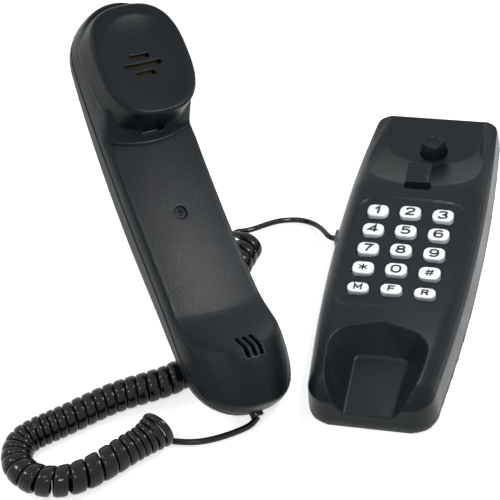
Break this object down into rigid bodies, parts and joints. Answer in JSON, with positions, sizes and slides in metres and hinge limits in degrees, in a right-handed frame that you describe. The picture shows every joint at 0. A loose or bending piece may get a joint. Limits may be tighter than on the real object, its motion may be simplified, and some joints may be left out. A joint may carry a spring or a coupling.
{
  "type": "slimline wall telephone",
  "caption": "Slim black wall telephone lying on its back: wedge base with a white keypad, ear recess and mouth well, its handset off the hook and leaning on a bunched curly cord.",
  "frame": {"origin": "middle of the base's back face, which lies on the table plane", "axes": "+X across the base to its right side, +Y along the base to the earpiece end, +Z out of the keypad face"},
  "size_m": [0.2004, 0.2581, 0.1325],
  "materials": {
    "base_black": "satin moulded",
    "plate_black": "fine textured",
    "handset_black": "satin with a fine texture",
    "key_white": "satin",
    "dark_plastic": "moulded",
    "cord_black": "soft gloss vinyl",
    "plug_clear": "clear polycarbonate",
    "mat_rubber": "matte silicone",
    "gasket_rubber": "matte",
    "board_green": "lacquered",
    "spring_steel": "bright",
    "screw_steel": "zinc plated",
    "capsule_brass": "plain",
    "capsule_steel": "plain",
    "ballast_iron": "raw"
  },
  "bodies": {
    "base": {"base_shell": "base_black", "back_plate": "plate_black", "keypad_mat": "mat_rubber", "keypad_board": "board_green", "main_board": "board_green", "hook_spring": "spring_steel", "hook_switch": "dark_plastic", "sounder": "capsule_brass", "line_jack": "dark_plastic", "cord_socket": "dark_plastic", "base_screws": "screw_steel", "cord_plug": "plug_clear", "cord_coil": "cord_black", "handset_lead": "cord_black", "base_lead": "cord_black"},
    "plunger": {"hook_plunger": "dark_plastic"},
    "clip": {"handset_clip": "dark_plastic"},
    "handset": {"handset_face": "handset_black", "handset_back": "handset_black", "receiver": "capsule_brass", "receiver_gasket": "gasket_rubber", "microphone": "capsule_steel", "microphone_boot": "gasket_rubber", "handset_screw": "screw_steel", "ballast": "ballast_iron", "cord_bushing": "cord_black"},
    "key_1": {"key_1": "key_white"},
    "key_2": {"key_2": "key_white"},
    "key_3": {"key_3": "key_white"},
    "key_4": {"key_4": "key_white"},
    "key_5": {"key_5": "key_white"},
    "key_6": {"key_6": "key_white"},
    "key_7": {"key_7": "key_white"},
    "key_8": {"key_8": "key_white"},
    "key_9": {"key_9": "key_white"},
    "key_star": {"key_star": "key_white"},
    "key_0": {"key_0": "key_white"},
    "key_hash": {"key_hash": "key_white"},
    "key_m": {"key_m": "key_white"},
    "key_f": {"key_f": "key_white"},
    "key_r": {"key_r": "key_white"}
  },
  "joints": [
    {"name": "handset_lift", "type": "slide", "parent": "base", "child": "handset", "axis": [0, 0, 1], "range_m": [0, 0.08]},
    {"name": "plunger_press", "type": "slide", "parent": "base", "child": "plunger", "axis": [0, 0, -1], "range_m": [0, 0.0034], "stiffness_N_per_m": 220, "springref_m": -0.002, "deforming": ["hook_spring"]},
    {"name": "clip_pull", "type": "slide", "parent": "base", "child": "clip", "axis": [0, 0, 1], "range_m": [0, 0.014]},
    {"name": "key_1_press", "type": "slide", "parent": "base", "child": "key_1", "axis": [0, 0, -1], "range_m": [0, 0.0014], "stiffness_N_per_m": 400, "springref_m": -0.001},
    {"name": "key_2_press", "type": "slide", "parent": "base", "child": "key_2", "axis": [0, 0, -1], "range_m": [0, 0.0014], "stiffness_N_per_m": 400, "springref_m": -0.001},
    {"name": "key_3_press", "type": "slide", "parent": "base", "child": "key_3", "axis": [0, 0, -1], "range_m": [0, 0.0014], "stiffness_N_per_m": 400, "springref_m": -0.001},
    {"name": "key_4_press", "type": "slide", "parent": "base", "child": "key_4", "axis": [0, 0, -1], "range_m": [0, 0.0014], "stiffness_N_per_m": 400, "springref_m": -0.001},
    {"name": "key_5_press", "type": "slide", "parent": "base", "child": "key_5", "axis": [0, 0, -1], "range_m": [0, 0.0014], "stiffness_N_per_m": 400, "springref_m": -0.001},
    {"name": "key_6_press", "type": "slide", "parent": "base", "child": "key_6", "axis": [0, 0, -1], "range_m": [0, 0.0014], "stiffness_N_per_m": 400, "springref_m": -0.001},
    {"name": "key_7_press", "type": "slide", "parent": "base", "child": "key_7", "axis": [0, 0, -1], "range_m": [0, 0.0014], "stiffness_N_per_m": 400, "springref_m": -0.001},
    {"name": "key_8_press", "type": "slide", "parent": "base", "child": "key_8", "axis": [0, 0, -1], "range_m": [0, 0.0014], "stiffness_N_per_m": 400, "springref_m": -0.001},
    {"name": "key_9_press", "type": "slide", "parent": "base", "child": "key_9", "axis": [0, 0, -1], "range_m": [0, 0.0014], "stiffness_N_per_m": 400, "springref_m": -0.001},
    {"name": "key_star_press", "type": "slide", "parent": "base", "child": "key_star", "axis": [0, 0, -1], "range_m": [0, 0.0014], "stiffness_N_per_m": 400, "springref_m": -0.001},
    {"name": "key_0_press", "type": "slide", "parent": "base", "child": "key_0", "axis": [0, 0, -1], "range_m": [0, 0.0014], "stiffness_N_per_m": 400, "springref_m": -0.001},
    {"name": "key_hash_press", "type": "slide", "parent": "base", "child": "key_hash", "axis": [0, 0, -1], "range_m": [0, 0.0014], "stiffness_N_per_m": 400, "springref_m": -0.001},
    {"name": "key_m_press", "type": "slide", "parent": "base", "child": "key_m", "axis": [0, 0, -1], "range_m": [0, 0.0014], "stiffness_N_per_m": 400, "springref_m": -0.001},
    {"name": "key_f_press", "type": "slide", "parent": "base", "child": "key_f", "axis": [0, 0, -1], "range_m": [0, 0.0014], "stiffness_N_per_m": 400, "springref_m": -0.001},
    {"name": "key_r_press", "type": "slide", "parent": "base", "child": "key_r", "axis": [0, 0, -1], "range_m": [0, 0.0014], "stiffness_N_per_m": 400, "springref_m": -0.001}
  ]
}
